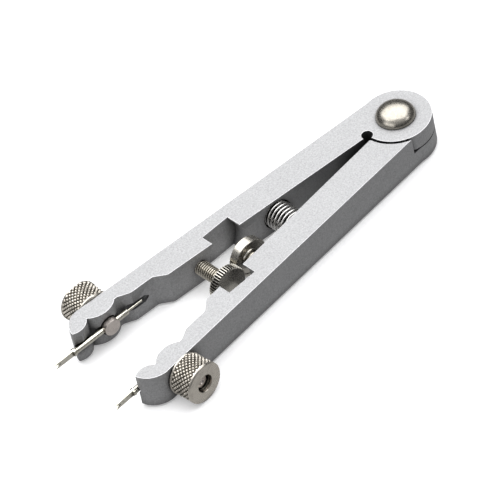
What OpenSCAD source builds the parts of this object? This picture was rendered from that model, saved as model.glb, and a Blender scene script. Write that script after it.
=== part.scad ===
// Spring bar pliers: two lapped arms on a rivet, a return spring, two thumbwheel stops
// and a clamped forked pin at each tip. The tool lies flat on z = 0 with its pivot on the
// Z axis and its tips towards +X. The left arm is on the -Y side, the right arm on the +Y side.

/* [Arms] */
// Radius of the round pivot head
head_radius = 11; // [10.8:0.1:11.2]
// Thickness of the arms from underside to top
arm_thickness = 11.6; // [11.2:0.1:12]
// Height of the arms' underside above the surface that the tool lies on
arm_base = 0.8; // [0.6:0.1:1]
// Angle between the two arms at rest
rest_angle = 8.94; // [8.8:0.02:9.1]
// Distance of the outer face from the arm's axis at the tip
outer_offset = 10.65; // [10.5:0.05:10.8]
// Gap between the two halves of the lap joint
lap_gap = 0.4; // [0.1:0.05:0.4]

/* [Pivot] */
// Radius of the rivet's shank
rivet_shank_radius = 3; // [2.5:0.1:3.5]
// Radius of the rivet's domed head
dome_radius = 6.15; // [5.5:0.05:6.5]
// Height of the domed head
dome_height = 3.7; // [3.3:0.1:4]

/* [Return spring] */
// Distance of the spring from the pivot
spring_x = 47.2; // [46:0.1:48]
// Outside radius of the spring
spring_radius = 4.6; // [4.2:0.1:4.7]
// Thickness of the wire
wire_thickness = 0.7; // [0.6:0.02:0.9]
// Distance between turns
spring_pitch = 1.35; // [1.2:0.01:1.5]
// Distance from the tool's centre line to the floor of each spring seat
seat_reach = 9.3; // [9:0.05:9.5]

/* [Stops] */
// Distance of the closing stop from the pivot
closing_stop_x = 76.45; // [76.2:0.05:76.6]
// Distance of the opening stop from the pivot
opening_stop_x = 64.75; // [64.5:0.05:65]
// Plane across the tool on which the two wheels rest against each other
stop_contact_y = 2.5; // [2.4:0.05:2.6]
// Radius of the knurled wheel
closing_wheel_radius = 6.1; // [6:0.05:6.2]
// Thickness of the knurled wheel
closing_wheel_width = 3.25; // [3:0.05:3.4]
// Radius of the smooth wheel
opening_wheel_radius = 6.2; // [6.1:0.05:6.3]
// Thickness of the smooth wheel
opening_wheel_width = 3.1; // [3:0.05:3.3]
// Thread radius of the stop screws and of the clamp posts (M5)
thread_radius = 2.4; // [2.35:0.01:2.45]

/* [Pin clamps] */
// Distance of each clamp from the pivot, along its arm
clamp_u = 109.8; // [109.6:0.1:110]
// Radius of the clamp post
post_radius = 2.7; // [2.6:0.02:2.74]
// Radius of the knurled clamp nut
nut_radius = 6.6; // [6.4:0.1:6.6]
// Length of the knurled clamp nut
nut_length = 8.3; // [8:0.1:8.6]
// Radius of the forked pin's shank
pin_radius = 1; // [0.9:0.02:1]

/* [Hidden] */
$fn = 64;

// Colours
satin = "#b9bbbd";
nickel = "#c9c4b8";
spring_steel = "#8d8d8a";

// Levels and small allowances
eps = 1;                          // overshoot of every cutter
mid_z = arm_base + arm_thickness / 2;
top_z = arm_base + arm_thickness;
half_angle = rest_angle / 2;
running = 0.05;                   // clearance of turning and sliding fits

// Arm outline, along the arm (u) and outwards from its axis (v)
nose_centre = [115, 3.3];
nose_radius = outer_offset - nose_centre[1];
nose_start_angle = 84;             // where the straight outer face turns into the nose
nose_start = nose_centre + polar(nose_radius, nose_start_angle);
nose_lobe_centre = [119.8, 8.4];
nose_lobe_radius = 5;
clamp_lobe_centre = [110.2, 10.8];
clamp_lobe_radius = 7.2;
head_meet = 2.4;                  // where the outer face leaves the round head
head_v = sqrt(head_radius * head_radius - head_meet * head_meet);
root_v = -0.22;                   // inner face at the pivot
step_start = [88.1, 1.39];        // end of the long inner face
step_end = [91.9, 4.15];
ramp_start = [100.2, 4.1];
ramp_end = [103.9, 5.8];
waist_v = ramp_end[1];            // depth of the two waists beside the clamp lobe
inner_slope = atan2(step_start[1] - root_v, step_start[0]);
step_slope = atan2(step_end[1] - step_start[1], step_end[0] - step_start[0]);
flat_slope = atan2(ramp_start[1] - step_end[1], ramp_start[0] - step_end[0]);
ramp_slope = atan2(ramp_end[1] - ramp_start[1], ramp_end[0] - ramp_start[0]);
step_round = 1.5;
ramp_round = 3;
waist_round = 1.5;

// Lap joint
shoulder_gap = 0.95;              // between one arm's shoulder and the other arm's head
shoulder_radius = head_radius + shoulder_gap;
shoulder_setback = 0.3;           // keeps the rounded corner's cutter inside the round cut
shoulder_u = shoulder_radius - shoulder_setback;
shoulder_overlap = 0.02;          // carries the rounded corner's cutter through the inner face
shoulder_corner = [shoulder_u, root_v + shoulder_u * tan(inner_slope) - shoulder_overlap];
shoulder_round = 1;
relief_centre = [11.1, 0.4];
relief_radius = 1.8;

// Spring seats and stop pockets, all bored square to the tool's centre line
seat_radius = 5;
pocket_radius = 7.3;
pocket_slot = 10.4;               // width of the pocket where it breaks out of the arm
left_pocket_x = 65.8;
right_pocket_x = 76.5;
left_pocket_floor = 10.9;
right_pocket_floor = 11.8;
stud_seat = 13.4;                 // depth of the blind tapped holes, from the centre line
stud_clearance = 0.6;             // left between a stud's end and the floor of its hole
stud_end = stud_seat - stud_clearance;
socket = 1;                       // web left behind the stud in each wheel

// Start of each wheel, measured from the centre line towards the arm that carries it
closing_wheel_start = -stop_contact_y - running / 2 - closing_wheel_width;
opening_wheel_start = stop_contact_y - running / 2 - opening_wheel_width;

edge_break = 0.35;                // chamfer on the wheels and the pins' ends
fine_break = 0.2;                 // chamfer on the washer, the posts and the pins' collars
thread_break = 0.4;               // chamfer on the ends of the threads
nut_break = 0.5;                  // chamfer on the clamp nuts

// Pivot and spring
rivet_rim = 0.5;                  // straight rim below the dome
dome_steps = 16;                  // cones that make up the dome
washer_radius = 5.6;
spring_play = 0.05;               // gap between each end of the spring and its seat

// Pin clamp, measured along v
post_face = 2;
post_shoulder = 9.6;              // where the post's thread starts
post_end = 17.4;
nut_face = outer_offset + running;
nut_end = nut_face + nut_length;
nut_mouth_radius = 2.85;
nut_mouth_depth = 0.9;
lobe_mouth_radius = 3.4;
lobe_mouth_v = 5;                 // depth of the countersink round the post

// Forked pin, measured along u, on a line that leans towards the other arm
pin_v = 3.8;                      // height of the pin's axis at the clamp
pin_lean = 2.6;
pin_rear = -12.8;                 // lengths along the pin from the clamp's axis
pin_rear_shank = -7.1;
pin_collar = 13.4;
pin_collar_end = 14.4;
pin_tip = 21.3;
pin_point_radius = 0.45;
pin_collar_radius = 1.22;
fork_width_root = 2.1;
fork_width_tip = 1.7;
fork_thickness = 0.9;
fork_slot_width = 0.85;
fork_slot_depth = 2;
channel_gap = 0.4;                // radial clearance of the pin in its channel
channel_radius = pin_radius + channel_gap;
channel_end = -13.8;              // full depth of the channel, behind the pin
drill_point = 1.8;                // length of its pointed end
drill_point_radius = 0.2;

// A point of the plane at distance r in direction a
function polar(r, a) = [r * cos(a), r * sin(a)];

// Places its children on the right or the left arm; in the arm's own frame X runs along the arm
// and Y outwards
module on_right() {
    rotate([0, 0, half_angle])
        children();
}
module on_left() {
    mirror([0, 1, 0])
        on_right()
            children();
}

// Turns a shape made along +Z so that it runs along +Y, at the arms' mid height
module along_y(x) {
    translate([x, 0, mid_z])
        rotate([-90, 0, 0])
            children();
}

// Points of the arc of radius r that rounds the corner p, whose edges leave it in directions
// a1 and a2, from the first edge to the second
function blend(p, a1, a2, r, steps = 6) =
    let (half = (a2 - a1) / 2, centre = p + polar(r / sin(abs(half)), (a1 + a2) / 2))
    let (start = a1 - sign(half) * 90, sweep = 2 * half - sign(half) * 180)
    [for (i = [0:steps]) centre + polar(r, start + sweep * i / steps)];

// Disc with broken edges, standing on z = 0
module broken_disc(r, h, edge = edge_break) {
    rotate_extrude()
        polygon([[0, 0], [r - edge, 0], [r, edge], [r, h - edge], [r - edge, h], [0, h]]);
}

// ---- Arms ----

// The rounded end of the nose, cut off where the straight outer face begins
module nose_outline() {
    intersection() {
        union() {
            translate(nose_lobe_centre)
                circle(nose_lobe_radius);
            translate([nose_start[0], waist_v])
                square([nose_radius, nose_radius]);
        }
        translate(nose_centre)
            circle(nose_radius);
        translate([nose_start[0] - eps, 0])
            square([nose_radius + eps, nose_start[1]]);
    }
}

// The inner side of the nose and the lobe that the clamp post passes through
module lobe_outline(centre, r) {
    intersection() {
        translate(centre)
            circle(r);
        translate([centre[0] - r, 0])
            square([nose_start[0] - centre[0] + r, outer_offset - eps]);
    }
}

module arm_outline() {
    polygon(concat(
        [
            [head_meet, head_v], nose_start, [nose_start[0], waist_v]
        ],
        blend(ramp_end, 360, 180 + ramp_slope, waist_round),
        blend(ramp_start, ramp_slope, 180 + flat_slope, ramp_round),
        blend(step_end, 360 + flat_slope, 180 + step_slope, step_round),
        blend(step_start, step_slope, 180 + inner_slope, step_round),
        [[0, root_v], [0, head_v]]
    ));
    lobe_outline(clamp_lobe_centre, clamp_lobe_radius);
    lobe_outline(nose_lobe_centre, nose_lobe_radius);
    nose_outline();
}

// Line of the pin, with its children's +Z towards the tip
module on_pin_axis() {
    translate([clamp_u, pin_v, mid_z])
        rotate([0, 0, -pin_lean])
            rotate([0, 90, 0])
                children();
}

module pin_channel() {
    on_pin_axis() {
        translate([0, 0, channel_end])
            cylinder(r = channel_radius, h = pin_tip - channel_end);
        translate([0, 0, channel_end - drill_point])
            cylinder(r1 = drill_point_radius, r2 = channel_radius, h = drill_point);
    }
}

// Bore for the clamp post, with a countersunk mouth in the lobe
module post_bore() {
    lobe_v = clamp_lobe_centre[1] - clamp_lobe_radius;
    slope = (lobe_mouth_radius - post_radius) / (lobe_mouth_v - lobe_v);
    along_y(clamp_u) {
        cylinder(r = post_radius + running, h = outer_offset + eps);
        translate([0, 0, lobe_v - eps])
            cylinder(
                r1 = lobe_mouth_radius + slope * eps, r2 = post_radius - slope * eps,
                h = lobe_mouth_v - lobe_v + 2 * eps
            );
    }
}

// Rounds the corner where the inner face meets the shoulder; it reaches out past that face
module shoulder_cutter() {
    arc = blend(shoulder_corner, inner_slope, 90, shoulder_round);
    polygon(concat([shoulder_corner - [0, eps], arc[0] - [0, eps]], arc));
}

// One arm, with its half of the lap joint between the levels lug_low and lug_high
module arm(lug_low, lug_high) {
    other_low = lug_low > mid_z ? arm_base - eps : lug_high;
    other_high = lug_low > mid_z ? lug_low : top_z + eps;
    difference() {
        union() {
            translate([0, 0, arm_base])
                linear_extrude(arm_thickness)
                    arm_outline();
            translate([0, 0, lug_low])
                cylinder(r = head_radius, h = lug_high - lug_low, $fn = 96);
        }
        translate([0, 0, other_low])
            cylinder(r = shoulder_radius, h = other_high - other_low, $fn = 96);
        translate([0, 0, other_low])
            linear_extrude(other_high - other_low)
                shoulder_cutter();
        translate([relief_centre[0], relief_centre[1], lug_low - lap_gap / 2])
            cylinder(r = relief_radius, h = lug_high - lug_low + lap_gap + eps);
        translate([0, 0, arm_base - eps])
            cylinder(r = rivet_shank_radius + running, h = arm_thickness + 2 * eps);
        post_bore();
        pin_channel();
    }
}

// Spring seat, stop pocket and tapped hole of one arm, bored square to the centre line
module cross_bores(pocket_x, pocket_floor, stud_x) {
    along_y(spring_x)
        cylinder(r = seat_radius, h = seat_reach);
    along_y(pocket_x) {
        cylinder(r = pocket_radius, h = pocket_floor);
        translate([-pocket_slot / 2, -arm_thickness / 2 - eps, 0])
            cube([pocket_slot, arm_thickness + 2 * eps, pocket_floor]);
    }
    along_y(stud_x)
        cylinder(r = thread_radius + running, h = stud_seat);
}

module right_arm() {
    color(satin)
        difference() {
            on_right()
                arm(arm_base, mid_z - lap_gap / 2);
            cross_bores(right_pocket_x, right_pocket_floor, opening_stop_x);
        }
}

module left_arm() {
    color(satin)
        difference() {
            on_left()
                arm(mid_z + lap_gap / 2, top_z);
            mirror([0, 1, 0])
                cross_bores(left_pocket_x, left_pocket_floor, closing_stop_x);
        }
}

// ---- Pivot ----

module pivot_rivet() {
    cap = dome_height - rivet_rim;
    color(nickel)
        union() {
            cylinder(r = rivet_shank_radius, h = top_z + rivet_rim);
            translate([0, 0, top_z])
                rotate_extrude($fn = 96)
                    polygon(concat(
                        [[0, 0], [dome_radius, 0]],
                        [
                            for (i = [0:dome_steps - 1])
                                let (a = 90 * i / dome_steps)
                                [dome_radius * cos(a), rivet_rim + cap * sin(a)]
                        ],
                        [[0, dome_height]]
                    ));
        }
}

module pivot_washer() {
    color(nickel)
        difference() {
            broken_disc(washer_radius, arm_base, fine_break);
            translate([0, 0, -eps])
                cylinder(r = rivet_shank_radius, h = arm_base + 2 * eps);
        }
}

// ---- Return spring ----

module return_spring() {
    sides = 8;
    per_turn = 20;
    length = 2 * (seat_reach - spring_play) - wire_thickness;
    turns = length / spring_pitch;
    rings = ceil(turns * per_turn);
    coil = spring_radius - wire_thickness / 2;
    color(spring_steel)
        translate([spring_x, 0, mid_z])
            polyhedron(
                points = [
                    for (i = [0:rings], s = [0:sides - 1])
                        let (a = 360 * turns * i / rings, w = 360 * s / sides)
                        let (r = coil + wire_thickness / 2 * cos(w))
                        [
                            r * cos(a),
                            length * (i / rings - 0.5) + wire_thickness / 2 * sin(w),
                            r * sin(a)
                        ]
                ],
                faces = concat(
                    [[for (s = [0:sides - 1]) s]],
                    [
                        for (i = [0:rings - 1], s = [0:sides - 1])
                            let (n = (s + 1) % sides, b = i * sides)
                            [b + s, b + sides + s, b + sides + n, b + n]
                    ],
                    [[for (s = [sides - 1:-1:0]) rings * sides + s]]
                )
            );
}

// ---- Stops ----

// Stud whose end is held in the wheel that starts at wheel_start
module stop_stud(wheel_start) {
    translate([0, 0, wheel_start + socket])
        broken_disc(thread_radius, stud_end - wheel_start - socket, thread_break);
}

// Wheel with a blind bore for the end of its stud
module stop_wheel(r, width) {
    difference() {
        broken_disc(r, width);
        translate([0, 0, socket - running])
            cylinder(r = thread_radius + running, h = width);
    }
}

module closing_stop_screw() {
    color(nickel)
        mirror([0, 1, 0])
            along_y(closing_stop_x)
                stop_stud(closing_wheel_start);
}

module closing_stop_wheel() {
    color(nickel)
        mirror([0, 1, 0])
            along_y(closing_stop_x)
                translate([0, 0, closing_wheel_start])
                    stop_wheel(closing_wheel_radius, closing_wheel_width);
}

module opening_stop_screw() {
    color(nickel)
        along_y(opening_stop_x)
            stop_stud(opening_wheel_start);
}

module opening_stop_wheel() {
    color(nickel)
        along_y(opening_stop_x)
            translate([0, 0, opening_wheel_start])
                stop_wheel(opening_wheel_radius, opening_wheel_width);
}

// ---- Pin clamps, in the arm's own frame ----

module clamp_post() {
    color(nickel)
        difference() {
            along_y(clamp_u) {
                translate([0, 0, post_face])
                    broken_disc(post_radius, post_shoulder - post_face, fine_break);
                translate([0, 0, post_shoulder - eps])
                    broken_disc(thread_radius, post_end - post_shoulder + eps, thread_break);
            }
            on_pin_axis()
                cylinder(r = pin_radius + running, h = 4 * post_radius, center = true);
        }
}

module clamp_nut() {
    color(nickel)
        along_y(clamp_u)
            difference() {
                translate([0, 0, nut_face])
                    broken_disc(nut_radius, nut_length, nut_break);
                cylinder(r = thread_radius + running, h = nut_end + eps);
                translate([0, 0, nut_end - nut_mouth_depth])
                    cylinder(
                        r1 = thread_radius + running, r2 = nut_mouth_radius,
                        h = nut_mouth_depth / 2
                    );
                translate([0, 0, nut_end - nut_mouth_depth / 2])
                    cylinder(r = nut_mouth_radius, h = nut_mouth_depth);
            }
}

module fork_pin() {
    color(nickel)
        on_pin_axis() {
            translate([0, 0, pin_rear])
                cylinder(r = pin_point_radius, h = pin_rear_shank - pin_rear + eps);
            translate([0, 0, pin_rear_shank])
                broken_disc(pin_radius, pin_collar - pin_rear_shank + edge_break, edge_break);
            translate([0, 0, pin_collar])
                broken_disc(pin_collar_radius, pin_collar_end - pin_collar, fine_break);
            fork_blade();
        }
}

// Flat blade whose width runs along Z of the tool, slotted from the tip
module fork_blade() {
    blade = pin_tip - pin_collar_end;
    translate([0, 0, pin_collar_end])
        rotate([0, -90, 0])
            rotate([90, 0, 0])
                translate([0, 0, -fork_thickness / 2])
                    linear_extrude(fork_thickness)
                        polygon([
                            [-eps / 2, -fork_width_root / 2], [blade, -fork_width_tip / 2],
                            [blade, -fork_slot_width / 2], [blade - fork_slot_depth, 0],
                            [blade, fork_slot_width / 2], [blade, fork_width_tip / 2],
                            [-eps / 2, fork_width_root / 2]
                        ]);
}

module left_clamp_post() {
    on_left()
        clamp_post();
}

module left_clamp_nut() {
    on_left()
        clamp_nut();
}

module left_fork_pin() {
    on_left()
        fork_pin();
}

module right_clamp_post() {
    on_right()
        clamp_post();
}

module right_clamp_nut() {
    on_right()
        clamp_nut();
}

module right_fork_pin() {
    on_right()
        fork_pin();
}

right_arm();
left_arm();
pivot_rivet();
pivot_washer();
return_spring();
closing_stop_screw();
closing_stop_wheel();
opening_stop_screw();
opening_stop_wheel();
left_clamp_post();
left_clamp_nut();
left_fork_pin();
right_clamp_post();
right_clamp_nut();
right_fork_pin();
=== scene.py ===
"""Spring bar pliers lying open on a pale floor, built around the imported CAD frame."""

import math

import bmesh
import bpy
from mathutils import Matrix, Vector


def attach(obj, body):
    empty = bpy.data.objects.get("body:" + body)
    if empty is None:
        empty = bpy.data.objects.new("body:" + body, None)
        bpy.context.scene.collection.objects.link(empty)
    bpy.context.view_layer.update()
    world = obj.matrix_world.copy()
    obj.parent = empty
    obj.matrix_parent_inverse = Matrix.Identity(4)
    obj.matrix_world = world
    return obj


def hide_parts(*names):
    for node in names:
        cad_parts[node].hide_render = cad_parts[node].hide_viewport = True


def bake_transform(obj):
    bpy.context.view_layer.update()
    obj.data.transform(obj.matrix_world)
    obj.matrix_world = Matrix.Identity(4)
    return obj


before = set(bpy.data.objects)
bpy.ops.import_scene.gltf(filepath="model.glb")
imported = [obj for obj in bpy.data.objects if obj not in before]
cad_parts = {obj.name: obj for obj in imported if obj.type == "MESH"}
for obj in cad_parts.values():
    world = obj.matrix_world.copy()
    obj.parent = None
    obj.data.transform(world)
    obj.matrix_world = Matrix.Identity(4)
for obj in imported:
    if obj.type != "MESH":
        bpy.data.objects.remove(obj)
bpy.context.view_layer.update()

MM = 0.001
TAU = 2 * math.pi
LEVEL = 0.999                 # upright share of a normal from which a face counts as level

# ---- Sizes in millimetres ----
MID_Z = 6.6                   # mid height of the arms
TOP_Z = 12.4                  # top face of the arms
BASE_Z = 0.8                  # underside of the arms
HALF_ANGLE = math.radians(4.47)
ARM_EDGE = 0.14               # rounded rims of the arms
HEAD_R = 11.0                 # round pivot head
SHANK_R = 3.0                 # rivet's shank
DOME_R = 6.2                  # rivet's head
DOME_HEIGHT = 3.8
SPRING_X = 47.2               # axis of the return spring
SEAT_R = 5.0                  # bores that hold its ends
THREAD_R = 2.4
THREAD_ROOT = 0.42            # depth of the M5 thread
THREAD_PITCH = 0.8
THREAD_CHAMFER = 0.45         # at the ends of the studs and posts
BORE_R = 2.45                 # bores of the wheels and nuts

# Heights of the stops run along their studs, and 0 is the middle plane between the arms.
STUD_END = 12.8
STUD_INSET = 1.0              # of a stud's other end, from its wheel's closed face
KNURLED_X = 76.45
KNURLED_START = -5.775        # closed face of the knurled wheel
KNURLED_WIDTH = 3.25
KNURLED_R = 6.1
KNURLED_TEETH = 44
SMOOTH_X = 64.75
SMOOTH_START = -0.625         # closed face of the smooth wheel
SMOOTH_WIDTH = 3.1

# Heights of the clamps run outwards along their posts, and 0 is the arm's own axis.
POST_U = 109.8                # posts, along the arms
POST_R = 2.7
POST_START = 2.0
POST_SHOULDER = 9.6           # the thread begins here
POST_END = 17.4
NUT_R = 6.6
NUT_START = 10.7
NUT_END = 19.0
NUT_MOUTH_R = 2.85
NUT_THREAD_START = 15.2       # only the part of the bore that can be seen is threaded
NUT_TEETH = 27
PIN_V = 3.8                   # fork pins, across the arms
PIN_LEAN = math.radians(2.6)

# ---- Frames that the turned parts are made in: +Z is the part's axis ----


def axes(origin, z_axis, x_axis):
    """Matrix whose columns are the part's axes in the row frame; origin in millimetres."""
    z = Vector(z_axis).normalized()
    y = z.cross(Vector(x_axis)).normalized()
    x = y.cross(z)
    matrix = Matrix((x, y, z)).transposed().to_4x4()
    matrix.translation = Vector(origin) * MM
    return matrix


def arm_direction(along, across, side):
    """Row-frame direction of (along, across) an arm; side is +1 right, -1 left."""
    c, s = math.cos(HALF_ANGLE), math.sin(HALF_ANGLE)
    return (along * c - across * s, side * (along * s + across * c), 0)


def arm_point(along, across, side):
    """Row-frame point so far along and across an arm from the pivot, at mid height."""
    x, y, _ = arm_direction(along, across, side)
    return (x, y, MID_Z)


# ---- Mesh helpers ----


def make_piece(name, bm, materials, body, replaced, smooth=35):
    """Finishes a bmesh as a piece that stands for a CAD node and rides on a body, if given.

    Edges of more than smooth degrees stay sharp, and level faces stay flat.
    """
    bmesh.ops.recalc_face_normals(bm, faces=bm.faces)
    mesh = bpy.data.meshes.new(name)
    bm.to_mesh(mesh)
    bm.free()
    mesh.shade_smooth()
    mesh.set_sharp_from_angle(angle=math.radians(smooth))
    for face in mesh.polygons:
        face.use_smooth = abs(face.normal.z) < LEVEL
    piece = bpy.data.objects.new(name, mesh)
    bpy.context.scene.collection.objects.link(piece)
    for material in materials:
        mesh.materials.append(material)
    if body:
        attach(piece, body)
    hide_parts(replaced)
    return piece


def turned(matrix, profile, segments, relief=None, closed=False, dark_below=math.inf):
    """Turned solid: rings of the (radius, height) profile round the matrix's Z axis.

    relief(radius, height, angle) gives the radius that is left there. A profile that is not
    closed begins and ends on the axis. Faces cut deeper than dark_below take the second material,
    which paints shade into grooves.
    """
    bm = bmesh.new()
    rings = []
    cuts = []
    for r, z in profile:
        cuts.append([0] * segments)
        if r == 0:
            rings.append([bm.verts.new(matrix @ Vector((0, 0, z * MM)))])
            continue
        ring = []
        for i in range(segments):
            a = TAU * i / segments
            left = relief(r, z, a) if relief else r
            cuts[-1][i] = abs(r - left)
            ring.append(bm.verts.new(
                matrix @ Vector((left * math.cos(a) * MM, left * math.sin(a) * MM, z * MM))))
        rings.append(ring)
    count = len(rings)
    for k in range(count if closed else count - 1):
        low, high = rings[k], rings[(k + 1) % count]
        cut_low, cut_high = cuts[k], cuts[(k + 1) % count]
        for i in range(segments):
            j = (i + 1) % segments
            if len(low) == 1:
                bm.faces.new((low[0], high[i], high[j]))
            elif len(high) == 1:
                bm.faces.new((low[i], high[0], low[j]))
            else:
                face = bm.faces.new((low[i], high[i], high[j], low[j]))
                cut = (cut_low[i] + cut_low[j] + cut_high[i] + cut_high[j]) / 4
                face.material_index = int(cut > dark_below)
    return bm


def steps(start, end, spacing):
    """Heights from start to end, both included, about spacing apart."""
    count = max(1, round(abs(end - start) / spacing))
    return [start + (end - start) * i / count for i in range(count + 1)]


def thread_profile(start, end):
    """Rings close enough together to show a thread, as far as the end's chamfer."""
    return [(THREAD_R, z) for z in steps(start, end - THREAD_CHAMFER, THREAD_PITCH / 8)]


def thread_relief(first, last):
    """Right-hand thread between two heights, running out at both ends."""
    steepness, flat_root = 1.35, 0.12
    run_in, run_out = 0.5, 0.3

    def relief(r, z, a):
        if not first <= z <= last:
            return r
        phase = (z / THREAD_PITCH - a / TAU) % 1
        tooth = min(1, max(0, steepness * abs(2 * phase - 1) - flat_root))
        fade = min(1, (z - first) / run_in, (last - z) / run_out)
        return r - THREAD_ROOT * (1 - tooth) * max(0, fade)
    return relief


# ---- Materials ----


class Shader:
    """Small builder for a Principled material with noise-driven colour, roughness and bump."""

    def __init__(self, name, metallic, roughness, **sockets):
        self.material = bpy.data.materials.new(name)
        self.material.use_nodes = True
        self.tree = self.material.node_tree
        self.bsdf = self.tree.nodes["Principled BSDF"]
        self.bsdf.inputs["Metallic"].default_value = metallic
        self.bsdf.inputs["Roughness"].default_value = roughness
        for socket, value in sockets.items():
            self.bsdf.inputs[socket.replace("_", " ")].default_value = value
        self.coords = self.tree.nodes.new("ShaderNodeTexCoord")
        self.height = None

    def link(self, output, socket):
        self.tree.links.new(output, socket)

    def noise(self, scale, detail, stretch=(1, 1, 1), distortion=0.0):
        """Noise of so many cells per millimetre."""
        mapping = self.tree.nodes.new("ShaderNodeMapping")
        mapping.inputs["Scale"].default_value = [scale / MM * s for s in stretch]
        self.link(self.coords.outputs["Object"], mapping.inputs["Vector"])
        node = self.tree.nodes.new("ShaderNodeTexNoise")
        node.inputs["Scale"].default_value = 1
        node.inputs["Detail"].default_value = detail
        node.inputs["Distortion"].default_value = distortion
        self.link(mapping.outputs["Vector"], node.inputs["Vector"])
        return node.outputs["Fac"]

    def ramp(self, fac, stops):
        """Colour that goes through the (position, colour) stops as fac rises."""
        node = self.tree.nodes.new("ShaderNodeValToRGB")
        elements = node.color_ramp.elements
        while len(elements) < len(stops):
            elements.new(0.5)
        for element, (position, colour) in zip(elements, stops):
            element.position = position
            element.color = (*colour, 1)
        self.link(fac, node.inputs["Fac"])
        return node.outputs["Color"]

    def span(self, fac, low, high):
        """fac stretched so that its usual range of 0.3 to 0.7 gives low to high."""
        node = self.tree.nodes.new("ShaderNodeMapRange")
        node.inputs["From Min"].default_value = 0.3
        node.inputs["From Max"].default_value = 0.7
        node.inputs["To Min"].default_value = low
        node.inputs["To Max"].default_value = high
        self.link(fac, node.inputs["Value"])
        return node.outputs["Result"]

    def mix(self, share, a, b, blend="MIX"):
        """Colour a with so large a share of colour b."""
        node = self.tree.nodes.new("ShaderNodeMix")
        node.data_type = "RGBA"
        node.blend_type = blend
        node.inputs["Factor"].default_value = share
        self.link(a, node.inputs["A"])
        self.link(b, node.inputs["B"])
        return node.outputs["Result"]

    def bump(self, fac, distance, strength):
        """Bump of so many millimetres, on top of any that was added before."""
        node = self.tree.nodes.new("ShaderNodeBump")
        node.inputs["Strength"].default_value = strength
        node.inputs["Distance"].default_value = distance * MM
        self.link(fac, node.inputs["Height"])
        if self.height is not None:
            self.link(self.height, node.inputs["Normal"])
        self.height = node.outputs["Normal"]
        self.link(self.height, self.bsdf.inputs["Normal"])

    def shaded_along_x(self, colour, darkest, end_x):
        """colour under a painted shade that is strongest at the pivot and gone end_x mm from it.
        """
        split = self.tree.nodes.new("ShaderNodeSeparateXYZ")
        self.link(self.coords.outputs["Object"], split.inputs["Vector"])
        along = self.tree.nodes.new("ShaderNodeMapRange")
        along.inputs["From Max"].default_value = end_x * MM
        self.link(split.outputs["X"], along.inputs["Value"])
        gradient_shade = self.ramp(along.outputs["Result"], [(0.1, (darkest,) * 3), (1.0, (1.0,) * 3)])
        return self.mix(1.0, colour, gradient_shade, "MULTIPLY")

    def corner_shade(self, colour, reach, darkest):
        """colour darkened by a painted shade in corners that other surfaces within reach mm
        shelter.
        """
        node = self.tree.nodes.new("ShaderNodeAmbientOcclusion")
        node.samples = 8
        node.inputs["Distance"].default_value = reach * MM
        occlusion_shade = self.ramp(node.outputs["AO"], [(0.35, (darkest,) * 3), (0.9, (1.0,) * 3)])
        return self.mix(1.0, colour, occlusion_shade, "MULTIPLY")

    def colour(self, output):
        self.link(output, self.bsdf.inputs["Base Color"])

    def roughness(self, output):
        self.link(output, self.bsdf.inputs["Roughness"])


def satin_material(name, low, high, metallic, rough, grain_bump, shade_end=None):
    """Sand-blasted alloy: fine sparkling grain over faint larger clouds.

    The last argument is the distance from the pivot, in millimetres, at which a painted shade
    along the arm has faded out. Corners that other surfaces shelter get painted shade as well.
    """
    shader = Shader(name, metallic, rough)
    grain = shader.noise(2.6, 2.0)
    speck = shader.noise(1.7, 1.0)
    clouds = shader.noise(0.09, 2.0)

    def tint(share):
        return tuple(v * (low + (high - low) * share) for v in (1.0, 1.0, 1.012))

    fine = shader.ramp(grain, [(0.3, tint(0)), (0.5, tint(0.5)), (0.68, tint(1))])
    coarse = shader.ramp(speck, [(0.32, tint(0.1)), (0.66, tint(0.95))])
    broad = shader.ramp(clouds, [(0.3, tint(0.4)), (0.7, tint(0.6))])
    blasted = shader.mix(0.25, shader.mix(0.45, fine, coarse), broad)
    # painted shade: darker towards the pivot when a distance is given, and darker in sheltered
    # corners
    if shade_end:
        blasted = shader.shaded_along_x(blasted, 0.2, shade_end)
    shader.colour(shader.corner_shade(blasted, 4.5, 0.16))
    shader.roughness(shader.span(shader.noise(1.7, 2.0), rough - 0.07, rough + 0.1))
    shader.bump(grain, 0.03, grain_bump)
    shader.bump(speck, 0.03, 0.5 * grain_bump)
    return shader.material


def nickel_material(name, base, dark, rough):
    """Nickel plate: warm tint with faint stains, painted shade in sheltered corners, slightly
    uneven gloss and fine scratches.
    """
    shader = Shader(name, 1.0, rough)
    stain = shader.noise(0.7, 4.0, distortion=0.6)
    plate = shader.ramp(stain, [(0.3, dark), (0.55, base)])
    # painted shade in corners that nearby surfaces shelter
    shader.colour(shader.corner_shade(plate, 2.2, 0.22))
    shader.roughness(shader.span(shader.noise(2.2, 3.0), 0.8 * rough, 1.5 * rough))
    shader.bump(shader.noise(1.0, 3.0, stretch=(0.4, 6, 6)), 0.003, 0.3)
    return shader.material


SATIN = satin_material("satin_alloy", 0.245, 0.52, 0.35, 0.5, 0.8)
# rounded rims: brighter, for worn edges and as a painted highlight
WORN_HIGHLIT = satin_material("satin_alloy_rims_worn_highlight", 0.58, 0.78, 0.6, 0.38, 0.2)
# painted shade: near-black alloy for the spring seats, the slit between the heads and the head's
# wall under the shoulder
SHADED_RECESS = satin_material("satin_alloy_painted_shade", 0.05, 0.10, 0.35, 0.5, 0.3)
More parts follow.
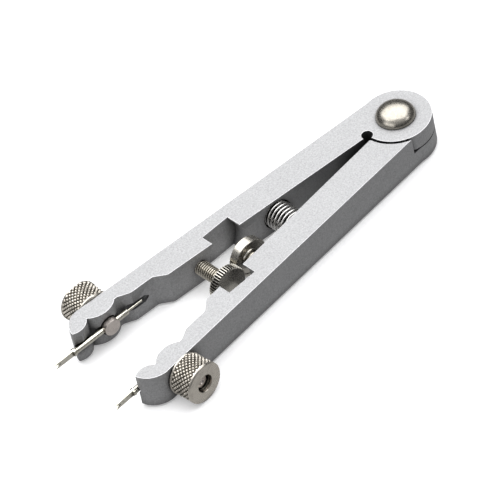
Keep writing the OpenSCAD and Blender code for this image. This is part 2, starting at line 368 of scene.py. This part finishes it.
# painted shade: the walls of the gap and the pockets, darker towards the pivot
INNER_SHADED = satin_material("satin_alloy_inner_shaded", 0.245, 0.52, 0.35, 0.5, 0.8, shade_end=65)
DOME = nickel_material("polished_nickel", (0.40, 0.375, 0.33), (0.34, 0.32, 0.28), 0.25)
STUD = nickel_material("stud_nickel", (0.80, 0.75, 0.65), (0.60, 0.56, 0.48), 0.24)
WHEEL = nickel_material("wheel_nickel", (0.54, 0.515, 0.465), (0.44, 0.42, 0.38), 0.24)
KNURL = nickel_material("knurled_nickel", (0.76, 0.71, 0.63), (0.62, 0.575, 0.51), 0.26)
POST = nickel_material("post_nickel", (0.82, 0.75, 0.70), (0.70, 0.64, 0.60), 0.34)
PIN = nickel_material("pin_steel", (0.80, 0.775, 0.68), (0.60, 0.575, 0.49), 0.14)
WIRE = nickel_material("spring_wire", (0.74, 0.73, 0.71), (0.50, 0.49, 0.48), 0.22)
# painted shade: near-black nickel for faces cut deep into threads, knurls and the nut's bore
GROOVE_SHADE = nickel_material("groove_nickel_painted_shade", (0.15, 0.137, 0.115), (0.08, 0.073, 0.06), 0.42)

# ---- Arms: the CAD solids with the rims of their level faces rounded ----

# plain alloy, rims with wear and a painted highlight, painted shade in recesses, and painted
# shade on the gap's walls
ARM_MATERIALS = [SATIN, WORN_HIGHLIT, SHADED_RECESS, INNER_SHADED]


def rounded_arm(node):
    """The CAD node's shape with planar faces joined up, its rims broken and materials set."""
    bm = bmesh.new()
    bm.from_mesh(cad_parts[node].data)
    weld = 0.02 * MM
    bmesh.ops.remove_doubles(bm, verts=bm.verts, dist=weld)
    bmesh.ops.dissolve_limit(
        bm, angle_limit=math.radians(0.5), verts=bm.verts, edges=bm.edges, delimit=set())
    rims = [e for e in bm.edges
            if e.is_manifold and on_a_level(e) and e.calc_face_angle() > math.radians(50)]
    made = bmesh.ops.bevel(
        bm, geom=rims, offset=ARM_EDGE * MM, offset_type="OFFSET", segments=2, profile=0.6,
        affect="EDGES", clamp_overlap=False)
    # the rounded rims take the brighter material: edge wear and a painted highlight
    for face in made["faces"]:
        face.material_index = ARM_MATERIALS.index(WORN_HIGHLIT)
    for face in bm.faces:
        corners = [v.co / MM for v in face.verts]
        # painted shade in the spring seats, the slit between the heads and the head's wall under
        # the shoulder
        if in_slit(face) or all(in_spring_seat(p) or in_lap(p) for p in corners):
            face.material_index = ARM_MATERIALS.index(SHADED_RECESS)
        # painted shade, darker towards the pivot, on the walls of the gap and the pockets
        elif face.material_index == ARM_MATERIALS.index(SATIN) and in_gap(face):
            face.material_index = ARM_MATERIALS.index(INNER_SHADED)
    return bm


def on_a_level(edge):
    """Both ends of the edge are on the arms' top, or both on their underside."""
    tolerance = 0.001 * MM
    return any(all(abs(v.co.z - z * MM) < tolerance for v in edge.verts)
               for z in (BASE_Z, TOP_Z))


def in_spring_seat(point):
    """On the wall or floor of a bore that holds an end of the spring."""
    slack, bore_start = 0.05, 4
    radius = math.hypot(point.x - SPRING_X, point.z - MID_Z)
    return radius < SEAT_R + slack and abs(point.y) > bore_start


def in_lap(point):
    """On the wall of the left arm's head where the right arm's shoulder faces it."""
    slack, first_angle, last_angle = 0.1, 8, 69
    angle = math.degrees(math.atan2(point.y, point.x))
    return (abs(math.hypot(point.x, point.y) - HEAD_R) < slack
            and first_angle < angle < last_angle and point.z > MID_Z + slack)


def in_slit(face):
    """Level face of a head, between the arms' top and underside."""
    margin, shoulder_reach = 1, 3
    centre = face.calc_center_median() / MM
    return (abs(face.normal.z) > 0.9 and BASE_Z + margin < centre.z < TOP_Z - margin
            and math.hypot(centre.x, centre.y) < HEAD_R + shoulder_reach)


def in_gap(face):
    """Wall of the gap between the arms or of a pocket: upright, and not facing outwards."""
    head_end = 5
    centre = face.calc_center_median() / MM
    outwards = face.normal.y * math.copysign(1, centre.y)
    return abs(face.normal.z) < 0.2 and centre.x > head_end and outwards < 0.3


for side in ("right", "left"):
    make_piece(f"{side}_arm_body", rounded_arm(f"{side}_arm"), ARM_MATERIALS,
               f"{side}_body", f"{side}_arm", smooth=24)

# ---- Pivot ----


def rivet():
    """Rivet: lower end, shank, and a domed head with a fine undercut at its foot."""
    chamfer = 0.2
    foot_r, undercut = 5.75, 0.12
    profile = [(0, 0), (SHANK_R - chamfer, 0), (SHANK_R, chamfer), (SHANK_R, TOP_Z),
               (foot_r, TOP_Z), (foot_r + 0.05, TOP_Z + undercut)]
    count = 28
    for i in range(1, count):
        a = math.radians(90 * i / count)
        profile.append((DOME_R * math.cos(a), TOP_Z + DOME_HEIGHT * math.sin(a)))
    profile.append((0, TOP_Z + DOME_HEIGHT))
    make_piece("rivet", turned(Matrix.Identity(4), profile, 96), [DOME], "right_body",
               "pivot_rivet")


def washer():
    """Washer under the arms, with its lower rim rounded."""
    outer, chamfer = 5.6, 0.2
    profile = [(SHANK_R, 0), (outer - chamfer, 0), (outer - 0.05, 0.06), (outer, chamfer),
               (outer, BASE_Z), (SHANK_R, BASE_Z)]
    make_piece("rivet_washer", turned(Matrix.Identity(4), profile, 72, closed=True), [DOME],
               "right_body", "pivot_washer")


rivet()
washer()

# ---- Return spring ----


def spring():
    """Closed-end coil; the two end turns lie flat against their seats."""
    coil = 4.28               # radius of the coil
    wire = 0.32               # radius of the wire
    reach = 9.25              # of each end, from the middle plane
    pitch = 1.35
    closed_turns = 0.8
    closed_pitch = 2.05 * wire
    sides, per_turn = 12, 40
    length = 2 * (reach - wire)
    turns = 2 * closed_turns + (length - 2 * closed_turns * closed_pitch) / pitch
    rings = round(turns * per_turn)
    bm = bmesh.new()
    made = []
    for i in range(rings + 1):
        t = turns * i / rings
        if t < closed_turns:
            y = closed_pitch * t
        elif t > turns - closed_turns:
            y = length - closed_pitch * (turns - t)
        else:
            y = closed_pitch * closed_turns + pitch * (t - closed_turns)
        a = TAU * t
        ring = []
        for k in range(sides):
            w = TAU * k / sides
            r = coil + wire * math.cos(w)
            ring.append(bm.verts.new(Vector((
                SPRING_X + r * math.cos(a), y - length / 2 + wire * math.sin(w),
                MID_Z + r * math.sin(a))) * MM))
        made.append(ring)
    for low, high in zip(made, made[1:]):
        for k in range(sides):
            n = (k + 1) % sides
            bm.faces.new((low[k], low[n], high[n], high[k]))
    bm.faces.new(made[0])
    bm.faces.new(made[-1])
    piece = make_piece("spring", bm, [WIRE], None, "return_spring", smooth=50)
    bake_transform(piece)


spring()

# ---- Stops ----


def stop(name, x, y_sign, wheel_start, thread_start, wheel_profile, relief, segments):
    """Stud and wheel on an axis along Y; heights run from the wheel towards the stud's end."""
    matrix = axes((x, 0, MID_Z), (0, y_sign, 0), (1, 0, 0))
    start = wheel_start + STUD_INSET
    tip_r = THREAD_R - THREAD_CHAMFER
    stud_profile = ([(0, start), (tip_r, start)]
                    + thread_profile(start + THREAD_CHAMFER, STUD_END)
                    + [(tip_r, STUD_END), (0, STUD_END)])
    # faces cut deep into the thread take the painted shade
    stud = turned(matrix, stud_profile, 64, thread_relief(thread_start, STUD_END),
                  dark_below=0.24)
    make_piece(f"{name}_stud", stud, [STUD, GROOVE_SHADE], f"{name}_screw",
               f"{name}_stop_screw")
    # faces deep between the knurl's teeth take the painted shade
    wheel = turned(matrix, [(r, wheel_start + z) for r, z in wheel_profile], segments, relief,
                   dark_below=0.3)
    make_piece(f"{name}_thumbwheel", wheel, [WHEEL, GROOVE_SHADE], f"{name}_wheel",
               f"{name}_stop_wheel", smooth=28)


def straight_knurl(r, z, a):
    """Straight teeth round the knurled wheel's rim, fading out at its plain shoulders."""
    depth, plain_r, fade = 0.6, 5.2, 0.25
    if r < plain_r:
        return r
    inside = min(z - KNURLED_START - 0.25, KNURLED_START + KNURLED_WIDTH - 0.3 - z)
    share = min(1, max(0, inside / fade))
    phase = (a / TAU * KNURLED_TEETH) % 1
    groove = max(0, 1 - abs(phase - 0.5) / 0.3)
    return r - depth * min(1, 1.8 * groove) * share * min(1, r / KNURLED_R)


blind_bore = [(BORE_R, 0.95), (0, 0.95)]
knurled_profile = (
    [(0, 0), (5.35, 0), (5.6, 0.05), (5.85, 0.2)]
    + [(KNURLED_R, z) for z in steps(0.4, 2.85, 0.2)]
    + [(5.85, 3.1), (5.6, 3.2), (5.35, KNURLED_WIDTH), (2.55, KNURLED_WIDTH), (BORE_R, 3.15)]
    + blind_bore
)
smooth_profile = (
    [(0, 0), (6.0, 0), (6.2, 0.18), (6.2, 2.92), (6.02, SMOOTH_WIDTH), (5.3, SMOOTH_WIDTH),
     (5.1, 2.75), (3.4, 2.75), (3.2, SMOOTH_WIDTH), (2.6, SMOOTH_WIDTH), (BORE_R, 2.95)]
    + blind_bore
)
plain_stud = 0.6              # between the smooth wheel and the thread
stop("closing", KNURLED_X, -1, KNURLED_START, KNURLED_START + KNURLED_WIDTH,
     knurled_profile, straight_knurl, KNURLED_TEETH * 12)
stop("opening", SMOOTH_X, 1, SMOOTH_START, SMOOTH_START + SMOOTH_WIDTH + plain_stud,
     smooth_profile, None, 128)

# ---- Clamps, one on each arm ----


def nut_relief(r, z, a):
    """Thread in the bore's mouth, and two crossing families of grooves round the outside."""
    if r < BORE_R + 0.05 and z > NUT_THREAD_START:
        return r + 0.27 + 0.2 * abs(2 * ((z / THREAD_PITCH - a / TAU) % 1) - 1)
    if r < NUT_R - 0.4:
        return r
    depth, lead, plain_ring, fade = 0.42, 36.0, 0.75, 0.25
    inside = min(z - (NUT_START + plain_ring), NUT_END - plain_ring - z)
    share = min(1, max(0, inside / fade))
    turn = a / TAU * NUT_TEETH
    twist = z * NUT_TEETH / lead
    one = abs((turn + twist) % 1 - 0.5) * 2
    two = abs((turn - twist) % 1 - 0.5) * 2
    height = min(1, 1.5 * min(1 - one, 1 - two))
    return r - depth * (1 - height) * share


def clamp(name, side):
    """Post through the arm's tip, the nut on it, and the fork pin that it holds."""
    outward = arm_direction(0, 1, side)
    along = arm_direction(1, 0, side)
    matrix = axes(arm_point(POST_U, 0, side), outward, along)
    edge = 0.15
    profile = ([(0, POST_START), (POST_R - edge, POST_START), (POST_R, POST_START + edge),
                (POST_R, POST_SHOULDER - edge), (POST_R - edge, POST_SHOULDER)]
               + thread_profile(POST_SHOULDER + 0.02, POST_END)
               + [(THREAD_R - THREAD_CHAMFER, POST_END), (1.2, POST_END),
                  (0.9, POST_END - 0.35), (0, POST_END - 0.5)])
    # faces cut deep into the thread take the painted shade
    post = turned(matrix, profile, 64, thread_relief(POST_SHOULDER + 0.3, POST_END - 0.1),
                  dark_below=0.24)
    make_piece(f"{name}_post", post, [POST, GROOVE_SHADE], f"{name}_post",
               f"{name}_clamp_post")

    profile = (
        [(BORE_R, NUT_START), (NUT_R - 0.5, NUT_START), (NUT_R - 0.3, NUT_START + 0.06),
         (NUT_R - 0.15, NUT_START + 0.2)]
        + [(NUT_R, z) for z in steps(NUT_START + 0.4, NUT_END - 0.4, 0.085)]
        + [(NUT_R - 0.15, NUT_END - 0.2), (NUT_R - 0.3, NUT_END - 0.06),
           (NUT_R - 0.5, NUT_END), (NUT_MOUTH_R + 0.1, NUT_END), (NUT_MOUTH_R, NUT_END - 0.1),
           (NUT_MOUTH_R, NUT_END - 0.45)]
        + [(BORE_R, z) for z in steps(NUT_END - 0.9, NUT_THREAD_START, 0.1)]
    )
    # faces deep in the knurl and in the bore's thread take the painted shade
    nut = turned(matrix, profile, NUT_TEETH * 16, nut_relief, closed=True, dark_below=0.25)
    make_piece(f"{name}_nut", nut, [KNURL, GROOVE_SHADE], f"{name}_nut",
               f"{name}_clamp_nut", smooth=32)

    fork_pin(name, side)


def fork_pin(name, side):
    """Turned pin with a rear point and a collar, and a flat forked blade at its tip."""
    direction = arm_direction(math.cos(PIN_LEAN), -math.sin(PIN_LEAN), side)
    matrix = axes(arm_point(POST_U, PIN_V, side), direction, (0, 0, 1))
    rear_point = [(0, -12.8), (0.3, -12.75), (0.45, -12.6), (0.45, -7.1)]
    shank = [(0.75, -7.1), (0.92, -7.0), (1.0, -6.8), (1.0, 13.25)]
    collar = [(1.12, 13.4), (1.22, 13.5), (1.22, 14.3), (1.12, 14.4), (0.5, 14.4), (0, 14.4)]
    bm = turned(matrix, rear_point + shank + collar, 40)

    root, tip, tip_chamfer = 1.05, 1.0, 0.12
    slot_half, slot_floor, slot_depth = 0.6, 0.12, 2.0
    thick = 0.4
    start, end = 14.2, 21.3
    shoulder = end - 0.5
    corners = [(-root, start), (root, start), (tip, shoulder), (tip - tip_chamfer, end),
               (slot_half, end), (slot_floor, end - slot_depth),
               (-slot_floor, end - slot_depth), (-slot_half, end),
               (-tip + tip_chamfer, end), (-tip, shoulder)]
    front = [bm.verts.new(matrix @ (Vector((x, thick, z)) * MM)) for x, z in corners]
    back = [bm.verts.new(matrix @ (Vector((x, -thick, z)) * MM)) for x, z in corners]
    blade = [bm.faces.new(front), bm.faces.new(list(reversed(back)))]
    count = len(corners)
    for i in range(count):
        j = (i + 1) % count
        blade.append(bm.faces.new((front[i], back[i], back[j], front[j])))
    edges = {e for f in blade for e in f.edges}
    bmesh.ops.bevel(bm, geom=list(edges), offset=0.05 * MM, offset_type="OFFSET", segments=2,
                    profile=0.5, affect="EDGES", clamp_overlap=False)
    make_piece(f"{name}_pin", bm, [PIN], f"{name}_pin", f"{name}_fork_pin")


clamp("right", 1)
clamp("left", -1)

# ---- Floor, light and camera ----


def direction_from(azimuth, elevation):
    """Unit vector from the tool to a viewer at these angles in degrees; azimuth 0 is at -Y."""
    a, e = math.radians(azimuth), math.radians(elevation)
    return Vector((math.sin(a) * math.cos(e), -math.cos(a) * math.cos(e), math.sin(e)))


def floor():
    """Pale paper just below the tool, which its materials neither mirror nor take light from."""
    half = 4.0
    mesh = bpy.data.meshes.new("floor")
    mesh.from_pydata([(-half, -half, 0), (half, -half, 0), (half, half, 0), (-half, half, 0)], [],
                     [(0, 1, 2, 3)])
    obj = bpy.data.objects.new("floor", mesh)
    obj.location = (0, 0, -0.02 * MM)
    bpy.context.scene.collection.objects.link(obj)
    shader = Shader("floor_paper", 0.0, 0.9, Specular_IOR_Level=0.1)
    paper = shader.ramp(shader.noise(0.02, 2.0),
                        [(0.3, (0.78, 0.78, 0.782)), (0.7, (0.8, 0.8, 0.802))])
    shader.colour(paper)
    shader.link(paper, shader.bsdf.inputs["Emission Color"])
    shader.bsdf.inputs["Emission Strength"].default_value = 0.35
    mesh.materials.append(shader.material)
    obj.visible_diffuse = False
    obj.visible_glossy = False


def softbox(name, azimuth, elevation, distance, size, radiance):
    """Rectangular area light facing the tool, given its radiance."""
    back = direction_from(azimuth, elevation)
    light = bpy.data.lights.new(name, "AREA")
    light.shape = "RECTANGLE"
    light.size, light.size_y = size
    light.energy = radiance * math.pi * size[0] * size[1]
    obj = bpy.data.objects.new(name, light)
    tool_middle = Vector((0.07, 0, 0))
    obj.location = tool_middle + back * distance
    obj.rotation_euler = (-back).to_track_quat("-Z", "Y").to_euler()
    bpy.context.scene.collection.objects.link(obj)


def surroundings():
    """World light: bright overhead, dark above the horizon, and a dim return from below."""
    world = bpy.data.worlds.new("studio")
    bpy.context.scene.world = world
    world.use_nodes = True
    nodes, links = world.node_tree.nodes, world.node_tree.links
    coords = nodes.new("ShaderNodeTexCoord")
    split = nodes.new("ShaderNodeSeparateXYZ")
    height = nodes.new("ShaderNodeMapRange")
    height.inputs["From Min"].default_value = -1
    ramp = nodes.new("ShaderNodeValToRGB")
    links.new(coords.outputs["Generated"], split.inputs["Vector"])
    links.new(split.outputs["Z"], height.inputs["Value"])
    links.new(height.outputs["Result"], ramp.inputs["Fac"])
    below, horizon = (0.42, 0.42, 0.422, 1), (0.06, 0.06, 0.061, 1)
    low_sky, overhead = (0.11, 0.112, 0.116, 1), (0.62, 0.625, 0.64, 1)
    elements = ramp.color_ramp.elements
    elements[0].position, elements[0].color = 0.0, below
    elements[1].position, elements[1].color = 0.9, overhead
    for position, colour in ((0.44, below), (0.5, horizon), (0.7, low_sky)):
        elements.new(position).color = colour
    links.new(ramp.outputs["Color"], nodes["Background"].inputs["Color"])
    nodes["Background"].inputs["Strength"].default_value = 1.0


def camera():
    """Camera at the photograph's viewing angle."""
    azimuth, elevation, roll = 145.34, 44.87, math.radians(13.43)
    back = direction_from(azimuth, elevation)
    right = Vector((math.cos(math.radians(azimuth)), math.sin(math.radians(azimuth)), 0))
    up = back.cross(right)
    x = math.cos(roll) * right - math.sin(roll) * up
    y = math.sin(roll) * right + math.cos(roll) * up
    data = bpy.data.cameras.new("camera")
    data.sensor_width = 36
    data.lens = 324
    data.clip_start, data.clip_end = 0.05, 30
    data.dof.use_dof = False
    obj = bpy.data.objects.new("camera", data)
    matrix = Matrix((x, y, back)).transposed().to_4x4()
    matrix.translation = (0.5977, 0.7734, 0.9431)
    obj.matrix_world = matrix
    bpy.context.scene.collection.objects.link(obj)
    bpy.context.scene.camera = obj


floor()
surroundings()
softbox("overhead_rear", 325, 70, 2.8, (5.6, 4.2), 2.5)
softbox("side_strip", 215, 34, 2.8, (0.9, 0.5), 3.0)
softbox("tip_fill", 95, 27, 2.2, (2.2, 1.1), 1.6)
camera()
bpy.context.scene.view_settings.view_transform = "Standard"
